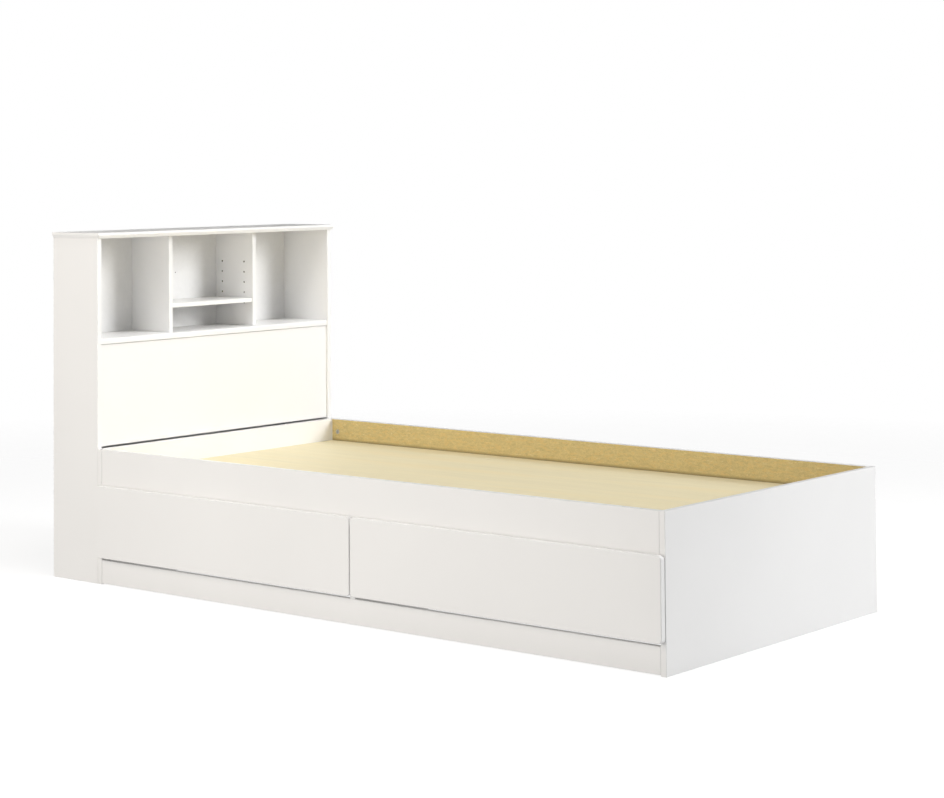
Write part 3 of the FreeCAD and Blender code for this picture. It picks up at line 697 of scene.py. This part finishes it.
class BED_OT_bare_boards(bpy.types.Operator):
    """Finish the deck, its supports and its cleats"""

    bl_idname = "bed.bare_boards"
    bl_label = "Deck and supports"

    def execute(self, context):
        colours = context.scene.bed_finishes
        dress(("Deck_Panel_Head", "Deck_Panel_Foot"), deck_board(colours))
        dress(("Long_Support_Head", "Long_Support_Foot"), chipboard(colours))
        dress(["Deck_Cleat_" + side for side in ("Near", "Far", "Head", "Foot")], pine(colours))
        return {"FINISHED"}


class BED_OT_drawer_boxes(bpy.types.Operator):
    """Finish the drawer boxes"""

    bl_idname = "bed.drawer_boxes"
    bl_label = "Drawer boxes"

    def execute(self, context):
        colours = context.scene.bed_finishes
        walls, bottom = foil(colours), hardboard(colours, "Drawer_Bottom_Board")
        for drawer in DRAWERS:
            dress([drawer + "_Drawer_" + part for part in ("Side_Head", "Side_Foot", "Back")], walls)
            dress([drawer + "_Drawer_Bottom"], bottom)
        return {"FINISHED"}


class BED_OT_back(bpy.types.Operator):
    """Make the bookcase's back, with its nails sunk along the edges and the dividers"""

    bl_idname = "bed.back"
    bl_label = "Bookcase back"

    side_in = 0.0075  # nails to the back's side edges
    top_in = 0.004  # nails to the back's top edge
    foot_in = 0.030  # lowest nails to the back's lower edge
    seat_depth = 0.0005  # nail seats below the back's face
    seat_play = 0.0002  # seat round a nail's head
    seat_reach = 0.002  # how far the seats' cutter stands out of the back
    nail_steps = 16  # sides of a nail's head
    pin_steps = 20  # sides of the small pin
    pin_spot = (0.0005, 0.873)  # the small pin's place, across the bed and above the floor

    def execute(self, context):
        colours = context.scene.bed_finishes
        radius = context.scene.bed_fittings.nail / 2
        low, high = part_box("Headboard_Back")
        board = bmesh.new()
        block(board, low, high, AS_DRAWN)
        spots = self.nails(low, high, context.scene.bed_fittings.nail_pitch)
        places = [facing(low.x, y, z, "-x") for y, z in spots]
        rim = radius + self.seat_play
        seat = [(-self.seat_depth, 0), (-self.seat_depth, rim), (self.seat_reach, rim), (self.seat_reach, 0)]
        cutter = bmesh.new()
        for place in places:
            turn(cutter, seat, self.nail_steps, place)
        board = carve(board, cutter)
        piece("Bookcase_Back", board, hardboard(colours, "White_Hardboard"), "bed_frame",
              ("Headboard_Back",))
        head = bmesh.new()
        turn(head, shaped(NAIL_SHAPE, radius), self.nail_steps, AS_DRAWN)
        scattered("Back_Nail_Heads", head, places, zinc_plate(colours), "bed_frame")
        self.centre_pin(high.x, radius, darkened_steel(colours))
        return {"FINISHED"}

    def centre_pin(self, face, radius, steel):
        """The small pin that shows in the middle bay, on the back's middle line."""
        pin = bmesh.new()
        turn(pin, shaped(PIN_SHAPE, radius), self.pin_steps, AS_DRAWN)
        scattered("Back_Centre_Pin", pin, [facing(face, *self.pin_spot, "+x")], steel, "bed_frame")

    def nails(self, low, high, pitch):
        """Nail spots over the middle of each board that the back is nailed to."""
        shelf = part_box("Fixed_Shelf")
        top, middle, bottom = high.z - self.top_in, (shelf[0].z + shelf[1].z) / 2, low.z + self.foot_in
        sides = (low.y + self.side_in, high.y - self.side_in)
        spots = []
        across = int((high.y - low.y) / pitch)
        for z in (top, middle):
            for index in range(across + 1):
                spots.append((sides[0] + (sides[1] - sides[0]) * index / across, z))
        for y in sides:
            for start, stop in ((bottom, middle), (middle, top)):
                count = int((stop - start) / pitch)
                for index in range(0 if start == bottom else 1, count):
                    spots.append((y, start + (stop - start) * index / count))
        for name in DIVIDERS:
            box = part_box(name)
            for index in (1, 2):
                spots.append(((box[0].y + box[1].y) / 2, middle + (top - middle) * index / 3))
        return spots


class BED_OT_runners(bpy.types.Operator):
    """Make the folded cabinet channels and drawer rails with their slots and screws"""

    bl_idname = "bed.runners"
    bl_label = "Drawer runners"

    # Distances from the front end, and for a slot also half the length between its round ends' centres
    channel_slots = ((0.075, 0.006), (0.226, 0.006), (0.290, 0.0), (0.350, 0.006))
    channel_slot_radius = 0.0022
    channel_screws = (0.042, 0.262, 0.398)
    rail_slots = ((0.110, 0.005), (0.300, 0.005))
    rail_slot_radius = 0.0020
    rail_screws = (0.045, 0.205, 0.395)
    channel_spin = 0.4  # each screw's cross is turned this much further than the last one's
    rail_spin = 0.5

    def execute(self, context):
        colours = context.scene.bed_finishes
        fittings = context.scene.bed_fittings
        coat = powder_coat(colours)
        plate = zinc_plate(colours)
        for drawer in DRAWERS:
            body = drawer.lower() + "_drawer"
            cabinet_screws = []
            rail_screws = []
            for side in SIDES:
                hand = 1 if side == "Head" else -1
                cabinet_screws += self.channel(drawer, side, hand, fittings, coat)
                rail_screws += self.rail(drawer, side, hand, fittings, coat, body)
            for name, places, owner in ((drawer + "_Channel_Screws", cabinet_screws, "bed_frame"),
                                        (drawer + "_Rail_Screws", rail_screws, body)):
                scattered(name, screw_head(fittings.screw, fittings.steps), places, plate, owner)
        return {"FINISHED"}

    def channel(self, drawer, side, hand, fittings, coat):
        """A cabinet channel: web on the wall, track below and guard above."""
        node = "%s_Drawer_Channel_%s" % (drawer, side)
        low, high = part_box(node)
        half = fittings.sheet / 2
        web = low.x + half if hand > 0 else high.x - half
        lip = high.x if hand > 0 else low.x
        points = [(lip, low.z + half), (web, low.z + half), (web, high.z - half), (lip, high.z - half)]
        mesh = fold(points, fittings.sheet, fittings.fold, low.y, high.y)
        middle = (low.z + high.z) / 2
        mesh = self.slotted(mesh, web, low.y, middle, self.channel_slots, self.channel_slot_radius)
        name = "%s_Channel_%s_Folded" % (drawer, side)
        shade_curves(piece(name, mesh, coat, "bed_frame", (node,)))
        face = web + hand * half
        return [facing(face, low.y + along, middle, "+x" if hand > 0 else "-x", self.channel_spin * index)
                for index, along in enumerate(self.channel_screws)]

    def rail(self, drawer, side, hand, fittings, coat, body):
        """A drawer rail: foot under the drawer side, web on it and a flange that rides the roller."""
        node = "%s_Drawer_Rail_%s" % (drawer, side)
        low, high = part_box(node)
        half = fittings.sheet / 2
        box_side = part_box("%s_Drawer_Side_%s" % (drawer, side))
        outer = box_side[0].x if hand > 0 else box_side[1].x
        web = outer - hand * half
        flange = low.x if hand > 0 else high.x
        toe = high.x if hand > 0 else low.x
        points = [(flange, high.z - half), (web, high.z - half), (web, low.z + half), (toe, low.z + half)]
        mesh = fold(points, fittings.sheet, fittings.fold, low.y, high.y)
        middle = (low.z + high.z) / 2
        mesh = self.slotted(mesh, web, low.y, middle, self.rail_slots, self.rail_slot_radius)
        name = "%s_Rail_%s_Folded" % (drawer, side)
        shade_curves(piece(name, mesh, coat, body, (node,)))
        face = web - hand * half
        return [facing(face, low.y + along, middle, "-x" if hand > 0 else "+x", self.rail_spin * index)
                for index, along in enumerate(self.rail_screws)]

    def slotted(self, mesh, web, front, middle, slots, radius):
        """Cut a row of slots through a web that stands at x = web."""
        cutter = bmesh.new()
        for along, half in slots:
            outline = slot_outline(front + along, middle, half, radius)
            prism(cutter, outline, web - CUT_REACH, web + CUT_REACH)
        return carve(mesh, cutter)


class BED_OT_rollers(bpy.types.Operator):
    """Make the moulded rollers with their recessed sides and hubs"""

    bl_idname = "bed.rollers"
    bl_label = "Rollers"

    wide = 0.0065  # a roller along its axle
    bore = 0.00205  # radius of the hole for the pin
    hub_wall = 0.0016
    rim_wall = 0.0022
    sink = 0.0011  # the sides between hub and rim lie this deep
    slope = 0.0005  # the hub's and the rim's slopes, across
    shoulder = 0.0002  # depth of the rim's face beside its edge
    round_off = 0.0006  # rounding of the tread's edges

    def execute(self, context):
        colours = context.scene.bed_finishes
        steps = context.scene.bed_fittings.steps * 2
        nylon = moulded_nylon(colours)
        plate = zinc_plate(colours)
        dress(("Channel_Roller_Pins", *(drawer + "_Drawer_Roller_Pins" for drawer in DRAWERS)), plate)
        for drawer in DRAWERS:
            for end in ("Front", "Rear"):
                node = "%s_Drawer_%s_Rollers" % (drawer, end)
                low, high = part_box(node)
                radius = (high.z - low.z) / 2
                y, z = (low.y + high.y) / 2, (low.z + high.z) / 2
                mesh = bmesh.new()
                for x in (low.x, high.x - self.wide):
                    turn(mesh, self.profile(radius), steps, Matrix.Translation((x, y, z)))
                name = "%s_%s_Rollers_Moulded" % (drawer, end)
                body = "%s_%s_rollers" % (drawer.lower(), end.lower())
                shade_curves(piece(name, mesh, nylon, body, (node,)))
        return {"FINISHED"}

    def profile(self, radius):
        """A roller's section: tread, rounded shoulders, recessed sides, hub and bore."""
        hub = self.bore + self.hub_wall
        rim = radius - self.rim_wall
        arc = self.round_off * 0.3
        half = [(0.0, self.bore), (0.0, hub), (self.sink, hub + self.slope), (self.sink, rim),
                (self.shoulder, rim + self.slope), (0.0, radius - self.round_off), (arc, radius - arc),
                (self.round_off, radius)]
        mirrored = [(self.wide - along, reach) for along, reach in reversed(half)]
        return half + mirrored + [half[0]]


class BED_OT_fasteners(bpy.types.Operator):
    """Finish the bolts, pins and cam locks, and add the small ones inside drawers and base"""

    bl_idname = "bed.fasteners"
    bl_label = "Fasteners"

    # Places on a drawer's side, from its front end, its lower edge and its upper edge
    box_cam_in = 0.030
    box_cam_low = 0.042
    box_cam_high = 0.028
    back_screw_low = 0.055
    back_screw_high = 0.025
    back_screw_share = 0.95  # size of the back's screws beside the runners' screws
    base_cam_in = 0.024  # cam locks of the base to the ends of plinth and far panel
    base_cam_high = 0.0355  # and above the floor
    cleat_screw_in = 0.06  # first and last screw to the ends of a cleat

    # Which way each cleat's screw heads face, and how many there are
    cleats = (
        ("Deck_Cleat_Near", "+y", 6), ("Deck_Cleat_Far", "-y", 6), ("Deck_Cleat_Head", "+x", 4),
        ("Deck_Cleat_Foot", "-x", 4),
    )

    # How far the crosses are turned round, in radians
    box_cam_spin = 0.3
    back_screw_spin = 0.6
    plinth_cam_spin = 0.2
    far_cam_spin = 0.9
    cleat_screw_spin = 0.35

    def execute(self, context):
        colours = context.scene.bed_finishes
        fittings = context.scene.bed_fittings
        cast, plate = cast_zinc(colours), zinc_plate(colours)
        dress(("Cam_Locks",), cast)
        dress(("Joining_Bolts",), plate)
        # painted shade: the shelf pins take the darkened steel so that they read as shaded under the shelf
        dress(("Shelf_Pins",), darkened_steel(colours))
        for drawer in DRAWERS:
            body = drawer.lower() + "_drawer"
            self.box_cams(drawer, body, fittings, cast)
            self.back_screws(drawer, body, fittings, plate)
        self.base_cams(fittings, cast)
        self.cleat_screws(fittings, plate)
        return {"FINISHED"}

    def box_cams(self, drawer, body, fittings, cast):
        """Cam locks on the drawer sides' inner faces, which hold the front."""
        places = []
        for side in SIDES:
            low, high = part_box("%s_Drawer_Side_%s" % (drawer, side))
            x, axis = (high.x + CAM_PROUD, "+x") if side == "Head" else (low.x - CAM_PROUD, "-x")
            for z in (low.z + self.box_cam_low, high.z - self.box_cam_high):
                places.append(facing(x, low.y + self.box_cam_in, z, axis, self.box_cam_spin))
        head = cam_head(fittings.cam, fittings.steps)
        scattered(drawer + "_Drawer_Cam_Faces", head, places, cast, body)

    def back_screws(self, drawer, body, fittings, plate):
        """Screws through the drawer sides into the back."""
        places = []
        for side in SIDES:
            low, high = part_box("%s_Drawer_Side_%s" % (drawer, side))
            outer = low.x if side == "Head" else high.x
            axis = "-x" if side == "Head" else "+x"
            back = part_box(drawer + "_Drawer_Back")
            for z in (low.z + self.back_screw_low, high.z - self.back_screw_high):
                places.append(facing(outer, (back[0].y + back[1].y) / 2, z, axis, self.back_screw_spin))
        head = screw_head(fittings.screw * self.back_screw_share, fittings.steps)
        scattered(drawer + "_Drawer_Back_Screws", head, places, plate, body)

    def base_cams(self, fittings, cast):
        """Cam locks low on the plinth's and the far panel's inner faces."""
        plinth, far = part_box("Plinth"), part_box("Far_Side_Panel")
        places = []
        z = self.base_cam_high
        for x in (plinth[0].x + self.base_cam_in, plinth[1].x - self.base_cam_in):
            places.append(facing(x, plinth[1].y + CAM_PROUD, z, "+y", self.plinth_cam_spin))
            places.append(facing(x, far[0].y - CAM_PROUD, z, "-y", self.far_cam_spin))
        scattered("Base_Cam_Faces", cam_head(fittings.cam, fittings.steps), places, cast, "bed_frame")

    def cleat_screws(self, fittings, plate):
        """Screws through the deck cleats into the boards of the base."""
        places = []
        for name, axis, count in self.cleats:
            low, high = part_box(name)
            along = 0 if axis[1] == "y" else 1
            length = high[along] - low[along] - 2 * self.cleat_screw_in
            for index in range(count):
                spot = (low + high) / 2
                spot[along] = low[along] + self.cleat_screw_in + length * index / (count - 1)
                spot[1 - along] = high[1 - along] if axis[0] == "+" else low[1 - along]
                places.append(facing(*spot, axis, self.cleat_screw_spin * index))
        head = screw_head(fittings.screw, fittings.steps)
        scattered("Cleat_Screws", head, places, plate, "bed_frame")


# Name, place, aim, width and height, spread in degrees, power in watts and colour
LAMPS = (
    ("Key_Lamp", (4.70, 3.12, 3.15), (-1.0, -0.1, 0.9), (2.2, 3.2), 90.0, 86.0, (1.0, 1.0, 1.0)),
    ("Top_Lamp", (0.40, -0.75, 3.90), (-0.3, -0.4, 0.4), (1.6, 1.2), 180.0, 58.0, (1.0, 1.0, 1.0)),
    ("Near_Lamp", (0.10, -3.54, 0.96), (0.0, 0.0, 0.4), (2.0, 1.0), 180.0, 33.0, (1.0, 0.945, 0.87)),
    ("Head_Lamp", (-1.33, -2.84, 2.36), (-0.3, 0.0, 0.4), (1.6, 1.3), 180.0, 35.0, (1.0, 0.945, 0.87)),
)


class BED_OT_studio(bpy.types.Operator):
    """Set up the pale floor, the soft light and the camera"""

    bl_idname = "bed.studio"
    bl_label = "Studio"

    def execute(self, context):
        studio = context.scene.bed_studio
        context.scene.view_settings.view_transform = "Standard"
        self.floor(studio)
        self.sky(context.scene, studio)
        for lamp in LAMPS:
            self.lamp(studio, *lamp)
        self.camera(context.scene)
        return {"FINISHED"}

    def floor(self, studio):
        """A pale floor whose far parts fade into the white of the studio."""
        mesh = bmesh.new()
        bmesh.ops.create_circle(mesh, cap_ends=True, segments=96, radius=studio.floor_reach)
        data = bpy.data.meshes.new("Floor")
        mesh.to_mesh(data)
        mesh.free()
        made = bpy.data.objects.new("Floor", data)
        bpy.context.scene.collection.objects.link(made)
        shader = Shader("Studio_Floor")
        speck = shader.noise(3.0, 3.0)
        tone = shader.blend(shader.ramp(speck, 0.3, 0.7), tint(studio.floor, 0.995), studio.floor)
        away = shader.vector("LENGTH", shader.place, output="Value")
        faded = studio.floor_reach * 0.98
        near = 1 - shader.ramp(away, studio.floor_solid, faded)
        seen = shader.node("ShaderNodeLightPath", output="Is Camera Ray")
        glow = shader.blend(seen, (studio.floor_glow,) * 3, (studio.floor_white,) * 3)
        data.materials.append(shader.finish(shader.skin(
            tone, 0.85, Specular_IOR_Level=0.1, Alpha=near, Emission_Color=glow, Emission_Strength=1.0)))

    def sky(self, scene, studio):
        """Soft light from the studio's walls; what shows behind the bed is white."""
        shader = Shader("Studio", "worlds")
        way = shader.node("ShaderNodeTexCoord", output="Generated")
        light = 0
        for sign, walls in ((1, studio.walls_ahead), (-1, studio.walls_behind)):
            turned = shader.vector("MULTIPLY", way, (sign, sign, sign))
            lobe = shader.vector("MAXIMUM", turned, (0, 0, 0))
            squared = shader.vector("MULTIPLY", lobe, lobe)
            light = shader.vector("DOT_PRODUCT", squared, walls[:], "Value") + light
        soft = shader.node("ShaderNodeBackground", None, {"Strength": light})
        white = shader.node("ShaderNodeBackground", None, {"Color": (1, 1, 1, 1)})
        seen = shader.node("ShaderNodeLightPath", output="Is Camera Ray")
        both = shader.node("ShaderNodeMixShader", None, {0: seen, 1: soft, 2: white})
        shader.node("ShaderNodeOutputWorld", None, {"Surface": both})
        scene.world = shader.owner

    def lamp(self, studio, name, spot, aim, across, spread, power, colour):
        """A soft box at a spot, aimed at a part of the bed."""
        data = bpy.data.lights.new(name, "AREA")
        data.shape = "RECTANGLE"
        data.size, data.size_y = across
        data.spread = radians(spread)
        data.energy = power * studio.lamps
        data.color = colour
        made = bpy.data.objects.new(name, data)
        made.location = spot
        made.rotation_euler = (Vector(aim) - Vector(spot)).to_track_quat("-Z", "Y").to_euler()
        bpy.context.scene.collection.objects.link(made)

    def camera(self, scene):
        """The camera that the bed was measured with, at the photograph's viewing angle."""
        spot = (4.118838, -5.157591, 1.214034)
        heading, rise, roll = radians(-49.3576), radians(2.2081), radians(-0.3502)
        ahead = Vector((-cos(heading) * cos(rise), -sin(heading) * cos(rise), sin(rise)))
        level = ahead.cross(Vector((0, 0, 1))).normalized()
        upright = level.cross(ahead)
        right = level * cos(roll) + upright * sin(roll)
        up = upright * cos(roll) - level * sin(roll)
        data = bpy.data.cameras.new("Camera")
        data.lens = 88.763
        data.sensor_width = 36.0
        data.shift_x = 0.120564
        data.shift_y = -0.346045
        data.clip_start = 0.1
        data.clip_end = 1000.0
        made = bpy.data.objects.new("Camera", data)
        turned = Matrix((right, up, -ahead)).transposed().to_4x4()
        made.matrix_world = Matrix.Translation(spot) @ turned
        scene.collection.objects.link(made)
        scene.camera = made


# -------- panel and running

class BED_PT_sidebar(bpy.types.Panel):
    """The bed's steps and settings"""

    bl_idname = "BED_PT_sidebar"
    bl_label = "Bookcase headboard bed"
    bl_space_type = "VIEW_3D"
    bl_region_type = "UI"
    bl_category = "Bed"

    def draw(self, context):
        for step in STEPS:
            self.layout.operator(step.bl_idname)
        for group in (context.scene.bed_finishes, context.scene.bed_fittings, context.scene.bed_studio):
            box = self.layout.box()
            for name in group.__annotations__:
                box.prop(group, name)


GROUPS = {"bed_finishes": BedFinishes, "bed_fittings": BedFittings, "bed_studio": BedStudio}
STEPS = (BED_OT_boards, BED_OT_bare_boards, BED_OT_drawer_boxes, BED_OT_back, BED_OT_runners, BED_OT_rollers,
         BED_OT_fasteners, BED_OT_studio)


def register():
    for group in (*GROUPS.values(), *STEPS, BED_PT_sidebar):
        bpy.utils.register_class(group)
    for name, group in GROUPS.items():
        setattr(bpy.types.Scene, name, PointerProperty(type=group))


def unregister():
    for name in GROUPS:
        delattr(bpy.types.Scene, name)
    for group in (BED_PT_sidebar, *reversed(STEPS), *GROUPS.values()):
        bpy.utils.unregister_class(group)


def main():
    register()
    for step in STEPS:
        group, name = step.bl_idname.split(".")
        getattr(getattr(bpy.ops, group), name)()


if __name__ == "__main__":
    main()
